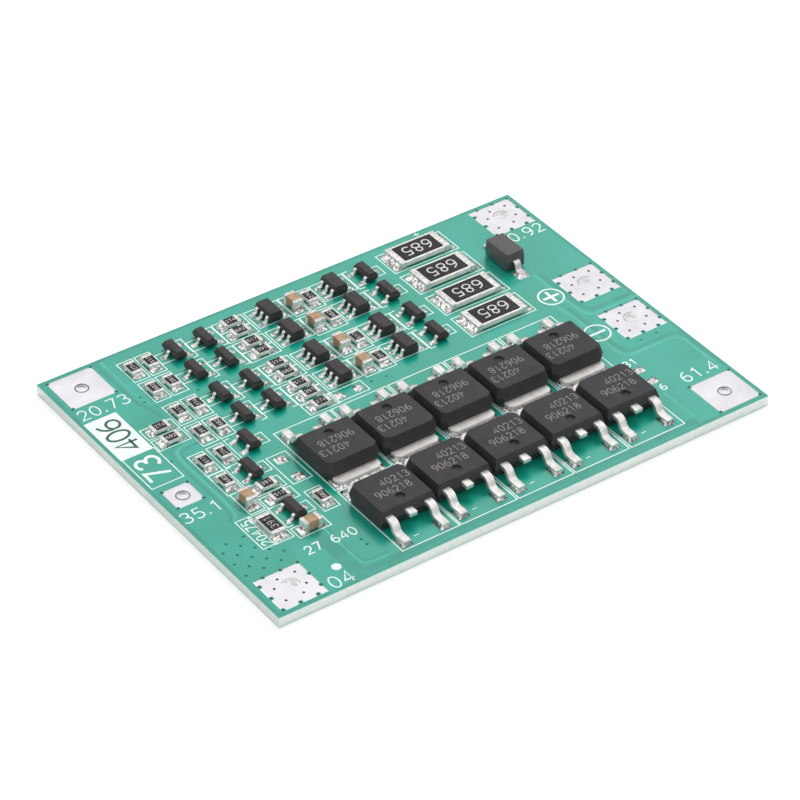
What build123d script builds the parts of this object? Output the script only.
from build123d import *
import os
from collections import namedtuple
from itertools import accumulate
from math import atan2, cos, radians, sin, tan

# Battery management board lying on its back, parts upward, in millimetres.
# X runs along the long edge, Y along the short edge, Z away from the board.
# The origin is under the middle of the board.
# Places on the board are measured from its front left corner.

os.makedirs("parts", exist_ok=True)

Chip = namedtuple("Chip", "length width height wrap")
Land = namedtuple("Land", "length width distance")

# Board and its bare copper
BOARD_THICKNESS = 1.2
LAND_THICKNESS = 0.05
SEAT_Z = BOARD_THICKNESS + LAND_THICKNESS

# Wire pads
PAD_LENGTH = 5.25
PAD_WIDTH = 5.15
PAD_EDGE_GAP = 0.525
LEFT_PAD_EDGE_GAP = 0.825
SIDE_PAD_SIZE = 3.1
SIDE_PAD_EDGE_GAP = 0.95
SIDE_PAD_Y = 20.5
OUTPUT_PAD_GAP = 2.65
MINUS_PAD_Y = 18.2
BARREL_RADIUS = 0.78
SOLDER_DISH_RADIUS = 0.72
SOLDER_DISH_DEPTH = 0.12
DIMPLE_RADIUS = 1.0
DIMPLE_DEPTH = 0.035
DIMPLE_SHIFT = 0.15

# Power transistor: moulded case over a lead frame with a wide tab
POWER_WIDTH = 6.6
POWER_DEPTH = 6.1
POWER_HEIGHT = 2.1
POWER_PARTING = 1.05
POWER_STANDOFF = 0.05
POWER_TOP_WIDTH = 6.04
POWER_TOP_LEAD_SIDE = 2.75
POWER_TOP_TAB_SIDE = 2.62
POWER_FOOT_DRAFT = 0.18
POWER_CORNER = 0.9
POWER_TOP_CHAMFER = 0.12
POWER_MARK_RADIUS = 0.45
POWER_MARK_DEPTH = 0.06
POWER_MARK_Y = -1.6
POWER_LEAD_SHIFT = 2.286
POWER_LEAD_WIDTH = 0.76
POWER_LEAD_THICKNESS = 0.5
POWER_LEAD_HEIGHT = 1.0
POWER_LEAD_RUN = 0.8
POWER_LEAD_SLOPE = 0.5
POWER_LEAD_REACH = 2.95
POWER_LEAD_ROOT = 0.5
POWER_BEND = 0.25
TAB_WIDTH = 5.25
TAB_REACH = 1.0
TAB_CORNER = 0.45
PLATE_LEAD_SIDE = 1.2
PLATE_RISE = 0.5

# Two rows of power transistors, tab to tab
POWER_COUNT = 5
POWER_FIRST_X = 18.3
POWER_GAP = 0.36
POWER_TAB_GAP = 0.57
POWER_EDGE_GAP = 2.08
POWER_SKEW = 0.3

# Three-lead transistor
TRANSISTOR_LENGTH = 2.9
TRANSISTOR_WIDTH = 1.3
TRANSISTOR_TOP = 1.0
TRANSISTOR_SPAN = 2.4

# Six-lead monitor chip
MONITOR_LENGTH = 2.9
MONITOR_WIDTH = 1.6
MONITOR_TOP = 1.15
MONITOR_SPAN = 2.8

# What both small cases share
SMALL_CASE_STANDOFF = 0.1
SMALL_CASE_DRAFT = 0.08
SMALL_LEAD_PITCH = 0.95
SMALL_LEAD_WIDTH = 0.4
SMALL_LEAD_THICKNESS = 0.15
SMALL_LEAD_ROOT = 0.15
SMALL_LEAD_RUN = 0.1
SMALL_LEAD_SLOPE = 0.13

# Diode
DIODE_WIDTH = 2.35
DIODE_LENGTH = 3.85
DIODE_TOP = 2.1
DIODE_STANDOFF = 0.1
DIODE_DRAFT = 0.2
DIODE_SPAN = 6.6
DIODE_LEAD_WIDTH = 1.0
DIODE_LEAD_THICKNESS = 0.25
DIODE_LEAD_HEIGHT = 0.95
DIODE_LEAD_ROOT = 0.4
DIODE_LEAD_RUN = 0.3
DIODE_LEAD_SLOPE = 0.3
DIODE_TO_BALANCE = 6.7
DIODE_TO_ROW = 6.5

# Chip resistors and capacitors, each with the length of its wrapped ends
SMALL_CHIP = Chip(length=2.0, width=1.25, height=0.5, wrap=0.38)
LARGE_CHIP = Chip(length=3.2, width=1.6, height=0.55, wrap=0.5)
BALANCE_CHIP = Chip(length=6.35, width=3.2, height=0.65, wrap=0.7)
CAPACITOR_CHIP = Chip(length=2.0, width=1.25, height=1.15, wrap=0.45)
END_THICKNESS = 0.05
COAT_MARGIN = 0.08
BALANCE_COAT_MARGIN = 0.27

# Channel rows: two pairs, counted from the rear edge
ROW_INSET = 3.6
ROW_GAP = 1.15
ROW_PAIR_GAP = 1.7
ROWS_TO_POWER = 10.95

# Balancing resistors, counted from the front
BALANCE_COUNT = 4
BALANCE_GAP = 1.35
BALANCE_TO_ROW = -0.6

# Columns of the channel rows, each by its distance from the column before it
COLUMN_STEPS = [9.25, 2.08, 2.92, 3.7, 3.75, 4.2, 3.05, 1.95, 3.2, 4.05, 6.9, 11.3]

# Lands, each with the distance of its middle from the middle of the part
POWER_FOOT_LAND = Land(length=1.6, width=1.25, distance=5.35)
POWER_TAB_LAND = Land(length=6.0, width=5.9, distance=1.35)
TRANSISTOR_LAND = Land(length=0.95, width=0.62, distance=1.12)
MONITOR_LAND = Land(length=1.0, width=0.6, distance=1.32)
DIODE_LAND = Land(length=1.6, width=1.7, distance=2.95)
SMALL_CHIP_LAND = Land(length=1.0, width=1.35, distance=0.98)
LARGE_CHIP_LAND = Land(length=1.2, width=1.7, distance=1.6)
BALANCE_LAND = Land(length=1.45, width=3.2, distance=3.15)

# Columns from left to right
(
    resistor_a_x,
    resistor_b_x,
    transistor_a_x,
    transistor_b_x,
    resistor_pair_x,
    monitor_a_x,
    capacitor_x,
    resistor_c_x,
    monitor_b_x,
    transistor_c_x,
    balance_x,
    right_pad_x,
) = accumulate(COLUMN_STEPS)

# Rows from the front edge to the rear edge
power_lead_side = POWER_DEPTH / 2
power_front_y = POWER_EDGE_GAP + POWER_LEAD_REACH + power_lead_side
power_rear_y = power_front_y + POWER_DEPTH + 2 * TAB_REACH + POWER_TAB_GAP
row_y = [power_rear_y + ROWS_TO_POWER]
for gap in (ROW_GAP, ROW_PAIR_GAP, ROW_GAP):
    row_y.insert(0, row_y[0] + MONITOR_LENGTH + gap)
pad_inset = PAD_LENGTH / 2 + PAD_EDGE_GAP
board_length = right_pad_x + pad_inset
board_width = row_y[0] + ROW_INSET

# Places on the board: x, y and turn in degrees
power_pitch = POWER_WIDTH + POWER_GAP
power_x = [POWER_FIRST_X + power_pitch * step for step in range(POWER_COUNT)]
power_spots = [(x, power_front_y, 0) for x in power_x] + [(x, power_rear_y, 180) for x in power_x]
power_spots[0] = (POWER_FIRST_X, power_front_y - POWER_SKEW, 0)
monitor_row_spots = [[(monitor_a_x, y, 0), (monitor_b_x, y, 0)] for y in row_y]
transistor_row_spots = [
    [(transistor_a_x, y, 0), (transistor_b_x, y, 0), (transistor_c_x, y, 180)] for y in row_y
]
cluster_transistor_spots = [(12.3, 23.65, 180), (9.97, 19.75, 180), (9.97, 12.2, 180)]
balance_first_y = row_y[-1] + BALANCE_TO_ROW
balance_spots = [
    (balance_x, balance_first_y + (BALANCE_CHIP.width + BALANCE_GAP) * step, 180)
    for step in range(BALANCE_COUNT)
]
row_resistor_places = [
    (resistor_a_x, -0.05, 90),
    (resistor_b_x, -0.05, 90),
    (resistor_pair_x, 0.93, 0),
    (resistor_pair_x, -0.93, 0),
    (resistor_c_x, -0.05, 90),
]
resistor_spots = [(x, y + shift, turn) for y in row_y for x, shift, turn in row_resistor_places]
resistor_spots += [
    (resistor_pair_x, row_y[-1] - 2.9, 0),
    (resistor_a_x - 3.0, row_y[-1] + 2.9, 0),
    (resistor_a_x - 3.0, row_y[-1] + 0.8, 0),
    (6.95, 23.4, 90),
    (9.18, 23.5, 90),
    (6.97, 19.7, 90),
    (13.35, 12.35, 90),
    (9.93, 17.0, 0),
    (10.03, 14.85, 0),
]
large_resistor_spots = [(6.82, 11.55, 90)]
capacitor_spots = [(capacitor_x, y - 0.05, 90) for y in row_y]
capacitor_spots += [(7.1, 16.05, 90), (10.02, 9.37, 0)]
diode_spots = [(balance_x + DIODE_TO_BALANCE, row_y[-1] + DIODE_TO_ROW, 90)]

# Lands left without a part: x, y, size along X and size along Y
spare_x = power_x[-1] + 5.26
empty_lands = [
    (resistor_pair_x + 2.4, row_y[-1] - 2.85, 1.0, 1.1),
    (resistor_pair_x + 4.65, row_y[-1] - 2.85, 1.0, 1.1),
    (13.45, 19.65, 1.3, 1.2),
    (13.45, 16.55, 1.3, 1.2),
    (spare_x, 10.85, 1.3, 1.0),
    (spare_x, 8.7, 1.3, 1.0),
]

# Wire pads: x, y, size along X, size along Y and whether the pad has a plated hole
left_pad_x = PAD_LENGTH / 2 + LEFT_PAD_EDGE_GAP
side_pad_x = SIDE_PAD_SIZE / 2 + SIDE_PAD_EDGE_GAP
plus_pad_y = MINUS_PAD_Y + PAD_WIDTH + OUTPUT_PAD_GAP
wire_pads = [
    (left_pad_x, pad_inset, PAD_LENGTH, PAD_WIDTH, False),
    (right_pad_x, pad_inset, PAD_LENGTH, PAD_WIDTH, True),
    (side_pad_x, SIDE_PAD_Y, SIDE_PAD_SIZE, SIDE_PAD_SIZE, True),
    (left_pad_x, board_width - pad_inset, PAD_LENGTH, PAD_WIDTH, True),
    (right_pad_x, board_width - pad_inset, PAD_LENGTH, PAD_WIDTH, False),
    (right_pad_x, plus_pad_y, PAD_LENGTH, PAD_WIDTH, False),
    (right_pad_x, MINUS_PAD_Y, PAD_LENGTH, PAD_WIDTH, False),
]


def on_board(x, y, turn=0, height=SEAT_Z):
    """Where a part sits: x and y from the front left corner, turned about its own middle."""
    return Location((x - board_length / 2, y - board_width / 2, height), (0, 0, turn))


def on_seats(spots):
    """One seat on the lands for each spot."""
    return [on_board(*spot) for spot in spots]


def side_view(heading, shift=0.0):
    """Upright plane along a lead: its x runs outward from the middle of the case, its y up."""
    outward = Vector(cos(radians(heading)), sin(radians(heading)), 0)
    sideways = Vector(-outward.Y, outward.X, 0)
    return Plane(origin=sideways * shift, x_dir=outward, z_dir=outward.cross(Vector(0, 0, 1)))


def formed_lead(heading, shift, width, thickness, height, root, run, slope, reach, bend=0.0):
    """Lead that leaves the case level, comes down and ends in a flat foot."""
    knee = run + slope
    step = thickness * tan(atan2(height, slope) / 2)
    outline = [
        (root, height + thickness),
        (run, height + thickness),
        (knee, thickness),
        (reach, thickness),
        (reach, 0),
        (knee - step, 0),
        (run - step, height),
        (root, height),
    ]
    with BuildSketch(side_view(heading, shift)) as profile:
        with BuildLine():
            if bend:
                outer = bend + thickness
                FilletPolyline(outline, radius=[0, outer, bend, 0, 0, outer, bend, 0], close=True)
            else:
                Polyline(outline, close=True)
        make_face()
    extrude(profile.sketch, amount=width / 2, both=True)


def small_lead(heading, shift, case_half, height, reach):
    """Formed lead of a small case whose side lies at case_half."""
    formed_lead(
        heading,
        shift,
        SMALL_LEAD_WIDTH,
        SMALL_LEAD_THICKNESS,
        height,
        case_half - SMALL_LEAD_ROOT,
        case_half + SMALL_LEAD_RUN,
        SMALL_LEAD_SLOPE,
        reach,
    )


def drafted_block(length, width, standoff, parting, top, draft):
    """Moulded case: widest at its parting line and drafted both ways from there."""
    with BuildSketch(Plane.XY.offset(standoff)) as foot:
        Rectangle(length - 2 * draft, width - 2 * draft)
    with BuildSketch(Plane.XY.offset(parting)) as waist:
        Rectangle(length, width)
    with BuildSketch(Plane.XY.offset(top)) as crown:
        Rectangle(length - 2 * draft, width - 2 * draft)
    loft([foot.sketch, waist.sketch, crown.sketch], ruled=True)


def power_outline(half_width, lead_side, tab_side):
    """Case outline seen from above, with its two tab-side corners cut."""
    shoulder = half_width - POWER_CORNER
    cut = tab_side - POWER_CORNER
    return [
        (-half_width, -lead_side),
        (half_width, -lead_side),
        (half_width, cut),
        (shoulder, tab_side),
        (-shoulder, tab_side),
        (-half_width, cut),
    ]


def end_pair(chip, wrap_round):
    """Two metal ends, wrapped over top and bottom, and round the sides if asked."""
    length, width, height, wrap = chip
    with GridLocations(length - wrap, 0, 2, 1):
        Box(wrap, width, height, align=(Align.CENTER, Align.CENTER, Align.MIN))
    side = width - 2 * END_THICKNESS if wrap_round else width
    with Locations((0, 0, END_THICKNESS)):
        Box(
            length - 2 * END_THICKNESS,
            side,
            height - 2 * END_THICKNESS,
            align=(Align.CENTER, Align.CENTER, Align.MIN),
            mode=Mode.SUBTRACT,
        )


def coated_body(chip, margin):
    """Ceramic slab with a raised coat between its two ends."""
    length, width, height, wrap = chip
    with Locations((0, 0, END_THICKNESS)):
        Box(
            length - 2 * END_THICKNESS,
            width,
            height - 2 * END_THICKNESS,
            align=(Align.CENTER, Align.CENTER, Align.MIN),
        )
    with Locations((0, 0, height - END_THICKNESS)):
        Box(
            length - 2 * wrap,
            width - 2 * margin,
            END_THICKNESS,
            align=(Align.CENTER, Align.CENTER, Align.MIN),
        )


def save(piece, name):
    """Names a finished piece and writes it out."""
    piece.label = name
    export_step(piece, f"parts/{name}.step")


# Board with the bores of its plated holes
bored_pads = [(x, y) for x, y, _, _, bored in wire_pads if bored]
with BuildPart() as circuit_board:
    with BuildSketch():
        Rectangle(board_length, board_width)
        with Locations(*[on_board(x, y, height=0) for x, y in bored_pads]):
            Circle(BARREL_RADIUS, mode=Mode.SUBTRACT)
    extrude(amount=BOARD_THICKNESS)
save(circuit_board.part, "circuit_board")


def dished(middle, radius, depth):
    """Ball that leaves a dish of this radius and depth in the land at middle."""
    ball = (radius**2 + depth**2) / (2 * depth)
    with Locations(middle * Location((0, 0, ball - depth))):
        Sphere(ball, mode=Mode.SUBTRACT)


# Wire pads: a tinned land with either a solder-filled barrel or a shallow dimple
for number, (x, y, along, across, bored) in enumerate(wire_pads, start=1):
    with BuildPart() as wire_pad:
        with BuildSketch(Plane.XY.offset(BOARD_THICKNESS)):
            with Locations(on_board(x, y, height=0)):
                Rectangle(along, across)
        extrude(amount=LAND_THICKNESS)
        if bored:
            with BuildSketch():
                with Locations(on_board(x, y, height=0)):
                    Circle(BARREL_RADIUS)
            extrude(amount=BOARD_THICKNESS)
            dished(on_board(x, y), SOLDER_DISH_RADIUS, SOLDER_DISH_DEPTH)
        else:
            dished(on_board(x + DIMPLE_SHIFT, y + DIMPLE_SHIFT), DIMPLE_RADIUS, DIMPLE_DEPTH)
    save(wire_pad.part, f"wire_pad_{number}")

# Power transistor, leads toward -Y
with BuildPart() as power_leadframe:
    with BuildSketch() as plate:
        with Locations((0, -PLATE_LEAD_SIDE)):
            Rectangle(
                TAB_WIDTH,
                PLATE_LEAD_SIDE + power_lead_side + TAB_REACH,
                align=(Align.CENTER, Align.MIN),
            )
        chamfer(plate.vertices().sort_by(Axis.Y)[-2:], TAB_CORNER)
    extrude(amount=POWER_LEAD_THICKNESS)
    rise_step = POWER_LEAD_THICKNESS * tan(atan2(POWER_LEAD_HEIGHT, PLATE_RISE) / 2)
    with BuildSketch(side_view(-90)):
        with BuildLine():
            Polyline(
                (0, POWER_LEAD_THICKNESS),
                (PLATE_LEAD_SIDE, POWER_LEAD_THICKNESS),
                (PLATE_LEAD_SIDE + PLATE_RISE, POWER_LEAD_HEIGHT + POWER_LEAD_THICKNESS),
                (power_lead_side + POWER_LEAD_RUN, POWER_LEAD_HEIGHT + POWER_LEAD_THICKNESS),
                (power_lead_side + POWER_LEAD_RUN, POWER_LEAD_HEIGHT),
                (PLATE_LEAD_SIDE + PLATE_RISE + rise_step, POWER_LEAD_HEIGHT),
                (PLATE_LEAD_SIDE + rise_step, 0),
                (0, 0),
                close=True,
            )
        make_face()
    extrude(amount=POWER_LEAD_WIDTH / 2, both=True)
    for shift in (-POWER_LEAD_SHIFT, POWER_LEAD_SHIFT):
        formed_lead(
            -90,
            shift,
            POWER_LEAD_WIDTH,
            POWER_LEAD_THICKNESS,
            POWER_LEAD_HEIGHT,
            power_lead_side - POWER_LEAD_ROOT,
            power_lead_side + POWER_LEAD_RUN,
            POWER_LEAD_SLOPE,
            power_lead_side + POWER_LEAD_REACH,
            POWER_BEND,
        )

with BuildPart() as power_case:
    with BuildSketch(Plane.XY.offset(POWER_STANDOFF)):
        foot_side = power_lead_side - POWER_FOOT_DRAFT
        Polygon(
            power_outline(POWER_WIDTH / 2 - POWER_FOOT_DRAFT, foot_side, foot_side), align=None
        )
    with BuildSketch(Plane.XY.offset(POWER_PARTING)):
        Polygon(power_outline(POWER_WIDTH / 2, power_lead_side, power_lead_side), align=None)
    with BuildSketch(Plane.XY.offset(POWER_HEIGHT)):
        Polygon(
            power_outline(POWER_TOP_WIDTH / 2, POWER_TOP_LEAD_SIDE, POWER_TOP_TAB_SIDE),
            align=None,
        )
    loft(ruled=True)
    chamfer(power_case.faces().sort_by(Axis.Z)[-1].edges(), POWER_TOP_CHAMFER)
    with BuildSketch(Plane.XY.offset(POWER_HEIGHT)):
        with Locations((0, POWER_MARK_Y)):
            Circle(POWER_MARK_RADIUS)
    extrude(amount=-POWER_MARK_DEPTH, mode=Mode.SUBTRACT)
    add(power_leadframe.part, mode=Mode.SUBTRACT)

for number, spot in enumerate(power_spots, start=1):
    with BuildPart() as mosfet_leadframe:
        with Locations(on_board(*spot)):
            add(power_leadframe.part)
    save(mosfet_leadframe.part, f"mosfet_leadframe_{number:02d}")
    with BuildPart() as mosfet_case:
        with Locations(on_board(*spot)):
            add(power_case.part)
    save(mosfet_case.part, f"mosfet_case_{number:02d}")

# Three-lead transistor, two leads toward +X and one toward -X
TRANSISTOR_LEAD_HEIGHT = (SMALL_CASE_STANDOFF + TRANSISTOR_TOP - SMALL_LEAD_THICKNESS) / 2
with BuildPart() as transistor_leads:
    for heading, shift in ((0, -SMALL_LEAD_PITCH), (0, SMALL_LEAD_PITCH), (180, 0)):
        small_lead(
            heading, shift, TRANSISTOR_WIDTH / 2, TRANSISTOR_LEAD_HEIGHT, TRANSISTOR_SPAN / 2
        )
with BuildPart() as transistor_case:
    drafted_block(
        TRANSISTOR_WIDTH,
        TRANSISTOR_LENGTH,
        SMALL_CASE_STANDOFF,
        (SMALL_CASE_STANDOFF + TRANSISTOR_TOP) / 2,
        TRANSISTOR_TOP,
        SMALL_CASE_DRAFT,
    )
    add(transistor_leads.part, mode=Mode.SUBTRACT)

# Six-lead monitor chip, three leads each way along X
MONITOR_LEAD_HEIGHT = (SMALL_CASE_STANDOFF + MONITOR_TOP - SMALL_LEAD_THICKNESS) / 2
with BuildPart() as monitor_leads:
    for heading in (0, 180):
        for shift in (-SMALL_LEAD_PITCH, 0, SMALL_LEAD_PITCH):
            small_lead(heading, shift, MONITOR_WIDTH / 2, MONITOR_LEAD_HEIGHT, MONITOR_SPAN / 2)
with BuildPart() as monitor_case:
    drafted_block(
        MONITOR_WIDTH,
        MONITOR_LENGTH,
        SMALL_CASE_STANDOFF,
        (SMALL_CASE_STANDOFF + MONITOR_TOP) / 2,
        MONITOR_TOP,
        SMALL_CASE_DRAFT,
    )
    add(monitor_leads.part, mode=Mode.SUBTRACT)

# Diode, leads along X before it is turned
with BuildPart() as diode_lead_pair:
    for heading in (0, 180):
        formed_lead(
            heading,
            0,
            DIODE_LEAD_WIDTH,
            DIODE_LEAD_THICKNESS,
            DIODE_LEAD_HEIGHT,
            DIODE_LENGTH / 2 - DIODE_LEAD_ROOT,
            DIODE_LENGTH / 2 + DIODE_LEAD_RUN,
            DIODE_LEAD_SLOPE,
            DIODE_SPAN / 2,
        )
with BuildPart() as diode_block:
    drafted_block(
        DIODE_LENGTH,
        DIODE_WIDTH,
        DIODE_STANDOFF,
        DIODE_LEAD_HEIGHT + DIODE_LEAD_THICKNESS / 2,
        DIODE_TOP,
        DIODE_DRAFT,
    )
    add(diode_lead_pair.part, mode=Mode.SUBTRACT)

# Chips with wrapped ends, lying along X
with BuildPart() as small_body:
    coated_body(SMALL_CHIP, COAT_MARGIN)
with BuildPart() as small_ends:
    end_pair(SMALL_CHIP, False)
with BuildPart() as large_body:
    coated_body(LARGE_CHIP, COAT_MARGIN)
with BuildPart() as large_ends:
    end_pair(LARGE_CHIP, False)
with BuildPart() as balance_body:
    coated_body(BALANCE_CHIP, BALANCE_COAT_MARGIN)
with BuildPart() as balance_end_pair:
    end_pair(BALANCE_CHIP, False)
with BuildPart() as capacitor_end_pair:
    end_pair(CAPACITOR_CHIP, True)
with BuildPart() as capacitor_block:
    with Locations((0, 0, END_THICKNESS)):
        Box(
            CAPACITOR_CHIP.length - 2 * END_THICKNESS,
            CAPACITOR_CHIP.width - 2 * END_THICKNESS,
            CAPACITOR_CHIP.height - 2 * END_THICKNESS,
            align=(Align.CENTER, Align.CENTER, Align.MIN),
        )

# Channel rows, counted from the rear
for number, (monitors, transistors) in enumerate(zip(monitor_row_spots, transistor_row_spots), 1):
    with BuildPart() as row_monitor_cases:
        with Locations(*on_seats(monitors)):
            add(monitor_case.part)
    save(row_monitor_cases.part, f"monitor_cases_row_{number}")
    with BuildPart() as row_monitor_leads:
        with Locations(*on_seats(monitors)):
            add(monitor_leads.part)
    save(row_monitor_leads.part, f"monitor_leads_row_{number}")
    with BuildPart() as row_transistor_cases:
        with Locations(*on_seats(transistors)):
            add(transistor_case.part)
    save(row_transistor_cases.part, f"transistor_cases_row_{number}")
    with BuildPart() as row_transistor_leads:
        with Locations(*on_seats(transistors)):
            add(transistor_leads.part)
    save(row_transistor_leads.part, f"transistor_leads_row_{number}")

# Transistors of the cluster at the left edge
with BuildPart() as cluster_transistor_cases:
    with Locations(*on_seats(cluster_transistor_spots)):
        add(transistor_case.part)
save(cluster_transistor_cases.part, "transistor_cases_cluster")
with BuildPart() as cluster_transistor_leads:
    with Locations(*on_seats(cluster_transistor_spots)):
        add(transistor_leads.part)
save(cluster_transistor_leads.part, "transistor_leads_cluster")

# Cell balancing resistors
for number, spot in enumerate(balance_spots, start=1):
    with BuildPart() as balance_resistor:
        with Locations(on_board(*spot)):
            add(balance_body.part)
    save(balance_resistor.part, f"balance_resistor_{number}")
with BuildPart() as balance_resistor_ends:
    with Locations(*on_seats(balance_spots)):
        add(balance_end_pair.part)
save(balance_resistor_ends.part, "balance_resistor_ends")

# Small chips
with BuildPart() as chip_resistor_bodies:
    with Locations(*on_seats(resistor_spots)):
        add(small_body.part)
    with Locations(*on_seats(large_resistor_spots)):
        add(large_body.part)
save(chip_resistor_bodies.part, "chip_resistor_bodies")
with BuildPart() as chip_resistor_ends:
    with Locations(*on_seats(resistor_spots)):
        add(small_ends.part)
    with Locations(*on_seats(large_resistor_spots)):
        add(large_ends.part)
save(chip_resistor_ends.part, "chip_resistor_ends")
with BuildPart() as chip_capacitor_bodies:
    with Locations(*on_seats(capacitor_spots)):
        add(capacitor_block.part)
save(chip_capacitor_bodies.part, "chip_capacitor_bodies")
with BuildPart() as chip_capacitor_ends:
    with Locations(*on_seats(capacitor_spots)):
        add(capacitor_end_pair.part)
save(chip_capacitor_ends.part, "chip_capacitor_ends")

# Diode
with BuildPart() as diode_case:
    with Locations(*on_seats(diode_spots)):
        add(diode_block.part)
save(diode_case.part, "diode_case")
with BuildPart() as diode_leads:
    with Locations(*on_seats(diode_spots)):
        add(diode_lead_pair.part)
save(diode_leads.part, "diode_leads")


def land(size, heading, shift=0.0):
    """Land of a part, out from its middle by its distance and sideways by shift."""
    length, width, distance = size
    middle = Vector(distance, shift, 0).rotate(Axis.Z, heading)
    with Locations(Location(middle, (0, 0, heading))):
        Rectangle(length, width)


# Tinned lands under the parts, and those left empty
all_monitor_spots = sum(monitor_row_spots, [])
all_transistor_spots = sum(transistor_row_spots, cluster_transistor_spots)
with BuildPart() as component_lands:
    with BuildSketch(Plane.XY.offset(BOARD_THICKNESS)):
        with Locations(*[on_board(*spot, height=0) for spot in power_spots]):
            land(POWER_TAB_LAND, 90)
            land(POWER_FOOT_LAND, -90, -POWER_LEAD_SHIFT)
            land(POWER_FOOT_LAND, -90, POWER_LEAD_SHIFT)
        with Locations(*[on_board(*spot, height=0) for spot in all_transistor_spots]):
            land(TRANSISTOR_LAND, 0, -SMALL_LEAD_PITCH)
            land(TRANSISTOR_LAND, 0, SMALL_LEAD_PITCH)
            land(TRANSISTOR_LAND, 180)
        with Locations(*[on_board(*spot, height=0) for spot in all_monitor_spots]):
            for heading in (0, 180):
                for shift in (-SMALL_LEAD_PITCH, 0, SMALL_LEAD_PITCH):
                    land(MONITOR_LAND, heading, shift)
        for spots, size in (
            (diode_spots, DIODE_LAND),
            (resistor_spots + capacitor_spots, SMALL_CHIP_LAND),
            (large_resistor_spots, LARGE_CHIP_LAND),
            (balance_spots, BALANCE_LAND),
        ):
            with Locations(*[on_board(*spot, height=0) for spot in spots]):
                land(size, 0)
                land(size, 180)
        for x, y, along, across in empty_lands:
            with Locations(on_board(x, y, height=0)):
                Rectangle(along, across)
    extrude(amount=LAND_THICKNESS)
save(component_lands.part, "component_lands")
